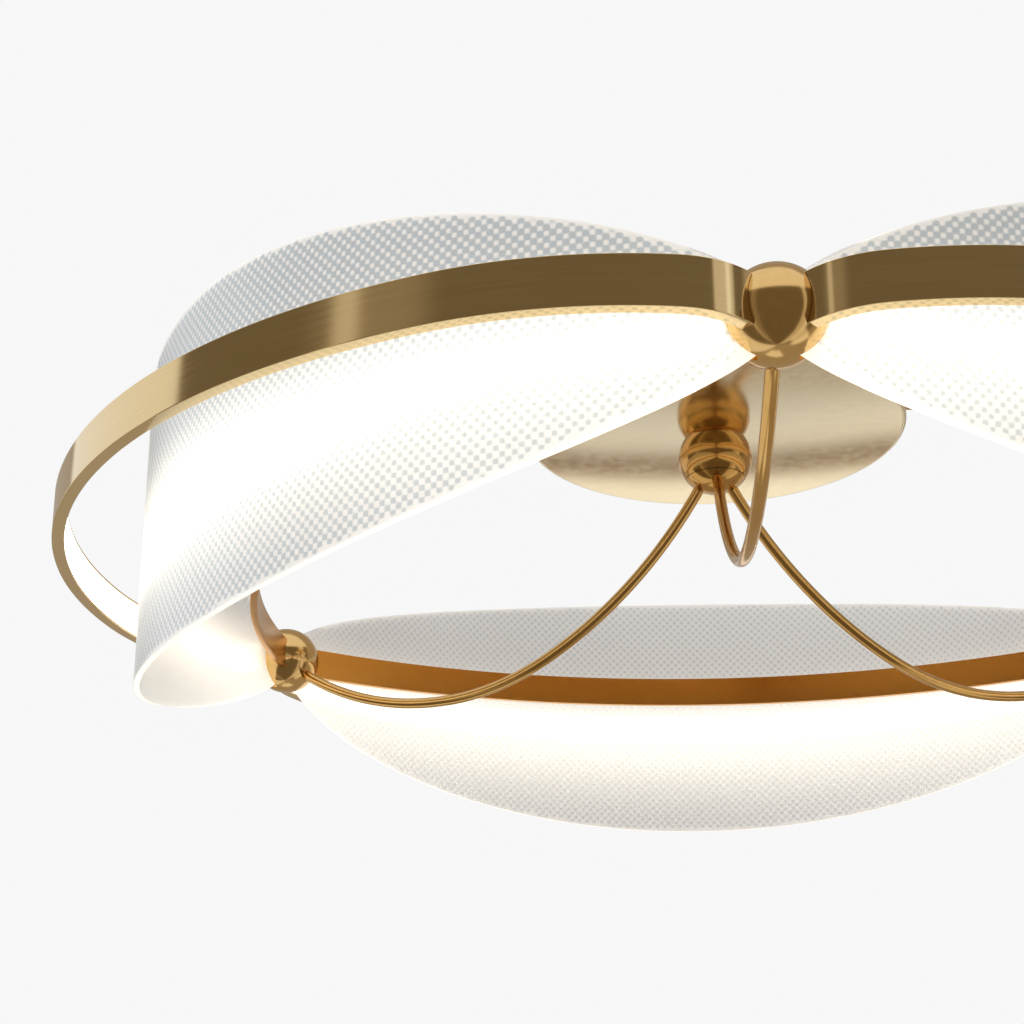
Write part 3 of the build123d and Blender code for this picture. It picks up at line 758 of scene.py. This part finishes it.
# %% Bends of arm 1, towards -Y
arm_radius = 3.0 * MM
tube_step = 2.5 * MM
low_out = ring_radius - 124.0 * MM
low_drop = 43.2 * MM
low_point = Vector((0.0, -low_out, ring_height - low_drop))
low_bend = 160.0 * MM
low_turn = 23.7
ball_trim, hub_trim = 2.0, 2.4  # degrees left off, so that the tube ends inside its ball
ball_way = Vector((0.0, -ring_radius, ring_height)) - low_point
outer_bend = (ball_way.y**2 + ball_way.z**2) / (2 * ball_way.z)
outer_centre = low_point + Vector((0, 0, outer_bend))
low_centre = low_point + Vector((0, 0, low_bend))
normal = Vector((0.0, -math.sin(math.radians(low_turn)), math.cos(math.radians(low_turn))))
rise_point = low_centre - normal * low_bend
hub_way = Vector((0.0, 0.0, hub_height)) - rise_point
rise_bend = hub_way.dot(hub_way) / (2 * hub_way.dot(normal))
rise_centre = rise_point + normal * rise_bend
outer_turn = math.degrees(math.asin(-ball_way.y / outer_bend)) - ball_trim
rise_turn = math.degrees(2 * math.asin(hub_way.length / (2 * rise_bend))) - hub_trim
print("arm bends", [round(bend / MM, 1) for bend in (outer_bend, low_bend, rise_bend)])

# %% Tube of arm 1


def half_arm(name, sweeps):
    """A tube from the lowest point along one or more arcs, each a centre, a turn and a radius."""
    bpy.ops.object.select_all(action="DESELECT")
    bpy.ops.mesh.primitive_circle_add(
        vertices=28, radius=arm_radius, location=low_point, rotation=(math.pi / 2, 0, 0)
    )
    piece = named(name)
    edit(True)
    bpy.ops.mesh.select_all(action="SELECT")
    for centre, turn, radius in sweeps:
        sweep(centre, turn, tube_step, radius, axis=(1, 0, 0))
    edit(False)
    return piece


outward = half_arm("arm_tube_1", [(outer_centre, -outer_turn, outer_bend)])
inward = half_arm(
    "arm_inward", [(low_centre, low_turn, low_bend), (rise_centre, rise_turn, rise_bend)]
)
bpy.ops.object.select_all(action="DESELECT")
outward.select_set(True)
inward.select_set(True)
bpy.context.view_layer.objects.active = outward
bpy.ops.object.join()
arm = outward
edit(True)
close_shell()
edit(False)
smooth(arm, 50.0)
print("arm", [round(length / MM, 1) for length in arm.dimensions])

# %% [markdown]
# ## Balls
# The joint balls are turned from solid brass. Each has two slots that take the tips of the
# sheets and a plug on top, with a fine seam round it.

# %% Joint ball 1
slot_size = (24.6 * MM, 3.6 * MM, 60.0 * MM)
slot_aside = 20.0 * MM
slot_back = 2.1 * MM
plug_radius = 6.6 * MM
plug_hole = 10.0 * MM
plug_hole_up = 21.4 * MM
ball = sphere("joint_ball_brass_1", ball_places[1], ball_radius, 128)
cutters = []
for side in (1, -1):
    bpy.ops.object.select_all(action="DESELECT")
    centre = ball_places[1] + Vector((side * slot_aside, -slot_back, 0))
    bpy.ops.mesh.primitive_cube_add(size=1, location=centre)
    cutters.append(named(f"slot_cutter_{side}"))
    edit(True)
    bpy.ops.mesh.select_all(action="SELECT")
    bpy.ops.transform.resize(value=slot_size, center_override=centre)
    edit(False)
bpy.ops.object.select_all(action="DESELECT")
above = ball_places[1] + Vector((0, 0, plug_hole_up))
bpy.ops.mesh.primitive_cylinder_add(
    vertices=64, radius=plug_radius, depth=plug_hole, location=above
)
cutters.append(named("plug_cutter"))
cut(ball, cutters)
smooth(ball, 30.0)
print("ball faces", len(ball.data.polygons))

# %% [markdown]
# ## Hub
# The hub is a ball in two parts: a shell under the canopy, and a cap that closes it and takes the
# arms. Both are turned on a lathe, which is what spinning half of an outline does.

# %% Hub ball and cap
hub_seam = 11.8 * MM
seam_gap = 0.3 * MM
shell_bore = 13.0 * MM
collar_radius = 12.9 * MM
collar_tall = 3.0 * MM


def spun(name, points):
    """Half of an outline, turned once round the lamp's axis."""
    piece = line(name, points)
    bpy.ops.mesh.spin(steps=128, angle=2 * math.pi, center=(0, 0, 0), axis=(0, 0, 1))
    close_shell()
    edit(False)
    return piece


def arc(radius, z_from, z_to, count=28):
    """Points on the hub's sphere between two heights from its centre."""
    first = math.asin(max(-1.0, min(1.0, z_from / radius)))
    last = math.asin(max(-1.0, min(1.0, z_to / radius)))
    turns = [first + (last - first) * i / count for i in range(count + 1)]
    return [(radius * math.cos(t), 0.0, hub_height + radius * math.sin(t)) for t in turns]


hub_top = canopy_face - hub_height
seam_height = hub_height - hub_seam
shell_points = [(shell_bore, 0, canopy_face)]
shell_points += arc(ball_radius, hub_top, -hub_seam)
shell_points += [(shell_bore, 0, seam_height)]
hub_shell = spun("hub_ball_brass", shell_points)
cap_points = [(collar_radius, 0, seam_height + up) for up in (collar_tall, -seam_gap)]
cap_points += arc(ball_radius, -hub_seam - seam_gap, -ball_radius)
cap_points[-1] = (0.0, 0.0, cap_points[-1][2])  # exactly on the axis
hub_cap = spun("hub_cap_brass", cap_points)
for piece in (hub_shell, hub_cap):
    smooth(piece, 30.0)
print("hub", [round(piece.dimensions.z / MM, 1) for piece in (hub_shell, hub_cap)], "mm tall")

# %% [markdown]
# ## Canopy
# The canopy is spun from sheet brass over a former. Its profile is drawn as half a section, its
# lower corner rounded, and turned round the axis.

# %% Canopy
canopy_radius = 103.6 * MM
canopy_wall = 1.5 * MM
canopy_edge = 2.5 * MM
inside = canopy_radius - canopy_wall
nipple_hole = 5.0 * MM
screw_hole = 2.4 * MM
screw_drop = 9.0 * MM


def corner(radius, centre_x, centre_z, count=8):
    """A quarter circle from straight down to straight out."""
    turns = [-math.pi / 2 + math.pi / 2 * i / count for i in range(count + 1)]
    return [(centre_x + radius * math.cos(t), 0.0, centre_z + radius * math.sin(t)) for t in turns]


corner_x = canopy_radius - canopy_edge
corner_z = canopy_face + canopy_edge
profile = [(nipple_hole, 0, canopy_face + canopy_wall), (nipple_hole, 0, canopy_face)]
profile += corner(canopy_edge, corner_x, corner_z)
profile += [(canopy_radius, 0, 0), (inside, 0, 0)]
profile += list(reversed(corner(canopy_edge - canopy_wall, corner_x, corner_z)))
canopy = line("canopy_brass", profile, closed=True)
bpy.ops.mesh.spin(steps=192, angle=2 * math.pi, center=(0, 0, 0), axis=(0, 0, 1))
bpy.ops.mesh.select_all(action="SELECT")
bpy.ops.mesh.remove_doubles(threshold=MM / 200)
bpy.ops.mesh.normals_make_consistent(inside=False)
edit(False)
bpy.ops.object.select_all(action="DESELECT")
bpy.ops.mesh.primitive_cylinder_add(
    vertices=32,
    radius=screw_hole,
    depth=0.22,
    location=(0, 0, -screw_drop),
    rotation=(0, math.pi / 2, 0),
)
cut(canopy, [named("screw_hole_cutter")])
smooth(canopy, 30.0, weighted=True)
print("canopy", [round(v / MM, 1) for v in canopy.dimensions])

# %% [markdown]
# ## Copies, bodies and materials
# The lamp repeats by thirds of a circle, so each piece that was modelled once is copied to the
# other two places, with a mesh of its own. Every piece rides on the lamp's body and hides the
# solid that it stands for. Copies come first, while the modelled piece is still bare.

# %% Copies


def stand_for(piece, node, material):
    """Dresses a piece and puts it in its node's place."""
    piece.data.materials.clear()
    piece.data.materials.append(material)
    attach(piece, "lamp")
    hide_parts(node)


for piece, name, node, slot, material, modelled, turns in (
    (outer_band, "outer_band_brass", "outer_band", "band_brass", brushed_brass, 2, lobe_turns),
    (inner_band, "inner_band_brass", "inner_band", "band_brass", bar_finish_painted_shade, 2, lobe_turns),
    (sheet, "patterned_sheet", "shade", "patterned_acrylic", acrylic, 2, lobe_turns),
    (arm, "arm_tube", "arm", "arm_brass", drawn_brass, 1, arm_turns),
    (ball, "joint_ball_brass", "joint_ball", "ball_brass", polished_brass, 1, arm_turns),
):
    for number in sorted(turns, key=lambda number: number == modelled):
        own = piece if number == modelled else turned_copy(piece, f"{name}_{number}", turns[number])
        stand_for(own, f"{node}_{number}", material)
stand_for(hub_shell, "hub_ball", hub_finish_painted_shade)
stand_for(hub_cap, "hub_cap", hub_finish_painted_shade)
stand_for(canopy, "canopy", canopy_finish_painted_light)

# %% [markdown]
# ## Pieces that stay as packed
# What sits inside the canopy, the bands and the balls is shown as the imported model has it, with
# its own finish.

# %% Materials of the nodes that stay
fittings = ("ceiling_bracket", "nipple", "lock_nut", "lock_washer", "terminal_screws")
stay = (
    (zinc, fittings + ("terminal_fixing", "earth_screw")),
    (brushed_brass, ("canopy_screw_left", "canopy_screw_right")),
    (polished_brass, ("joint_plug_1", "joint_plug_2", "joint_plug_3")),
    (driver_plastic, ("driver_case", "driver_lid")),
    (terminal_plastic, ("terminal_block",)),
    (foam, ("driver_pad",)),
    (sheath, ("input_lead", "output_lead", "strip_leads")),
    (sheath, ("arm_lead_1", "arm_lead_2", "arm_lead_3")),
    (tape_white, ("led_strip_1", "led_strip_2", "led_strip_3")),
    (diffuser_plastic, ("diffuser_1", "diffuser_2", "diffuser_3")),
)
for material, names in stay:
    for name in names:
        nodes[name].data.materials.clear()
        nodes[name].data.materials.append(material)
print("dressed", sum(len(names) for _, names in stay), "nodes")

# %% [markdown]
# ## Studio: the room in the brass
# Polished brass shows little of itself and much of the room. So the world has two sides. To the
# camera and through the acrylic it is plain white. To mirrors it is a dim room with soft bright
# panels in set directions, as a photographer sets them up, and each puts a light stretch on a
# band, a ball, an arm or the canopy. A direction is a bearing from +Y towards +X, and a height
# from -1 straight down to 1 straight up.

# %% Helpers for the room
world = bpy.data.worlds.new("studio")
bpy.context.scene.world = world
world.use_nodes = True
tree = world.node_tree
tree.nodes.clear()
ray_way = add_node(tree, "ShaderNodeTexCoord").outputs["Generated"]
parts = add_node(tree, "ShaderNodeSeparateXYZ", {"Vector": ray_way})
inputs = {0: parts.outputs["X"], 1: parts.outputs["Y"]}
bearing = add_node(tree, "ShaderNodeMath", inputs, operation="ARCTAN2").outputs["Value"]
height = parts.outputs["Z"]


def between(value, low, high, soft):
    """One between two bounds, nothing outside them, and a soft step at each."""
    both = []
    for edge, outside in ((low, 0.0), (high, 1.0)):
        inputs = {"Value": value, "From Min": edge - soft, "From Max": edge + soft}
        inputs.update({"To Min": outside, "To Max": 1.0 - outside})
        step = add_node(tree, "ShaderNodeMapRange", inputs, interpolation_type="SMOOTHSTEP")
        both.append(step.outputs["Result"])
    inputs = dict(enumerate(both))
    return add_node(tree, "ShaderNodeMath", inputs, operation="MULTIPLY").outputs["Value"]


def add_panel(below, strength, across, up=1.0):
    """Adds a bright panel to what the room shows already."""
    shape = add_node(tree, "ShaderNodeMath", {0: across, 1: up}, operation="MULTIPLY")
    inputs = {0: shape.outputs["Value"], 1: strength, 2: below}
    return add_node(tree, "ShaderNodeMath", inputs, operation="MULTIPLY_ADD").outputs["Value"]


print("room helpers ready")

# %% The room
degree = math.radians(1.0)
shown = 0.2  # the dim room itself
# Upright panels from floor to ceiling: bearings in degrees, softness, strength
for low, high, soft, strength in (
    (-42, 90, 4.0, 0.25),
    (-82, -42, 0.8, 0.75),
    (103, 126, 1.5, 0.5),
    (107, 112, 1.0, 0.3),
    (-134, -114, 6.0, 0.14),
    (-121, -116, 1.5, 0.35),
):
    across = between(bearing, low * degree, high * degree, soft * degree)
    shown = add_panel(shown, strength, across)
# A panel overhead, behind the camera
front = between(parts.outputs["Y"], -2.0, 0.1, 0.15)
shown = add_panel(shown, 0.8, front, between(height, 0.62, 1.5, 0.03))
# Panels on the floor, which light the undersides: bearings, heights, softness of the heights
for low, high, bottom, top, soft in ((76, 104, -0.9, -0.5, 0.04), (-28, 22, -0.965, -0.83, 0.02)):
    across = between(bearing, low * degree, high * degree, 3 * degree)
    shown = add_panel(shown, 0.6, across, between(height, bottom, top, soft))
inputs = {0: shown, 1: 1.0}
mirrored = add_node(tree, "ShaderNodeMath", inputs, operation="MINIMUM").outputs["Value"]
print("nodes in the world", len(tree.nodes))

# %% [markdown]
# ## Studio: the background
# The kind of ray decides what it meets: mirrors get the room, warm where it is dim. The camera
# and the acrylic get white, and soft light from all sides is a little weaker than that.

# %% Background
soft_light = 0.75
white_backdrop = 0.95
path = add_node(tree, "ShaderNodeLightPath")
in_mirror = path.outputs["Is Glossy Ray"]
inputs = {"Fac": mirrored, "Color1": colour("f4d8ac"), "Color2": colour("ffffff")}
room_tone = add_node(tree, "ShaderNodeMixRGB", inputs).outputs["Color"]
inputs = {"Fac": in_mirror, "Color1": colour("fdfdfd"), "Color2": room_tone}
tone = add_node(tree, "ShaderNodeMixRGB", inputs).outputs["Color"]
inputs = {0: path.outputs["Is Camera Ray"], 1: path.outputs["Is Transmission Ray"]}
seen = add_node(tree, "ShaderNodeMath", inputs, operation="MAXIMUM").outputs["Value"]
inputs = {"Factor": in_mirror, "A": soft_light, "B": mirrored}
unseen = add_node(tree, "ShaderNodeMix", inputs).outputs["Result"]
inputs = {"Factor": seen, "A": unseen, "B": white_backdrop}
level = add_node(tree, "ShaderNodeMix", inputs).outputs["Result"]
backdrop = add_node(tree, "ShaderNodeBackground", {"Color": tone, "Strength": level})
add_node(tree, "ShaderNodeOutputWorld", {"Surface": backdrop.outputs["Background"]})
print("background", white_backdrop, "soft light", soft_light)

# %% [markdown]
# ## Studio: lamp and floor
# One softbox at the left gives the shapes a lighter and a darker side. It isn't seen in mirrors
# or through the acrylic. The floor is far below, where it keeps a shadow and brightens the
# undersides a little.

# %% Lamp
lamp_data = bpy.data.lights.new("softbox", "AREA")
lamp_data.shape = "SQUARE"
lamp_data.size = 1.2
lamp_data.energy = 8.0
softbox = bpy.data.objects.new("softbox", lamp_data)
bpy.context.scene.collection.objects.link(softbox)
softbox.location = (-1.5, -0.7, 0.3)
lamp_way = Vector((0, 0, ring_height)) - softbox.location
softbox.rotation_euler = lamp_way.to_track_quat("-Z", "Y").to_euler()
softbox.visible_glossy = False
softbox.visible_transmission = False
print("softbox", round(lamp_way.length, 2), "m away")

# %% Floor
floor_height = -0.9
bpy.ops.object.select_all(action="DESELECT")
bpy.ops.mesh.primitive_plane_add(size=6, location=(0, 0, floor_height))
floor = named("studio_floor")
# Emulsion paint on a flat floor: no gloss, and a mottle too faint to notice
floor_paint, tree, shader = new_material("matt_white_paint")
inputs = {"Fac": grain(tree, even(40.0)), "Color1": colour("f2f1ee"), "Color2": colour("f7f6f3")}
floor_tint = add_node(tree, "ShaderNodeMixRGB", inputs)
tree.links.new(floor_tint.outputs["Color"], shader.inputs["Base Color"])
shader.inputs["Roughness"].default_value = 0.8
floor.data.materials.append(floor_paint)
floor.visible_glossy = False
bpy.context.scene.view_settings.view_transform = "Standard"
print("studio ready")
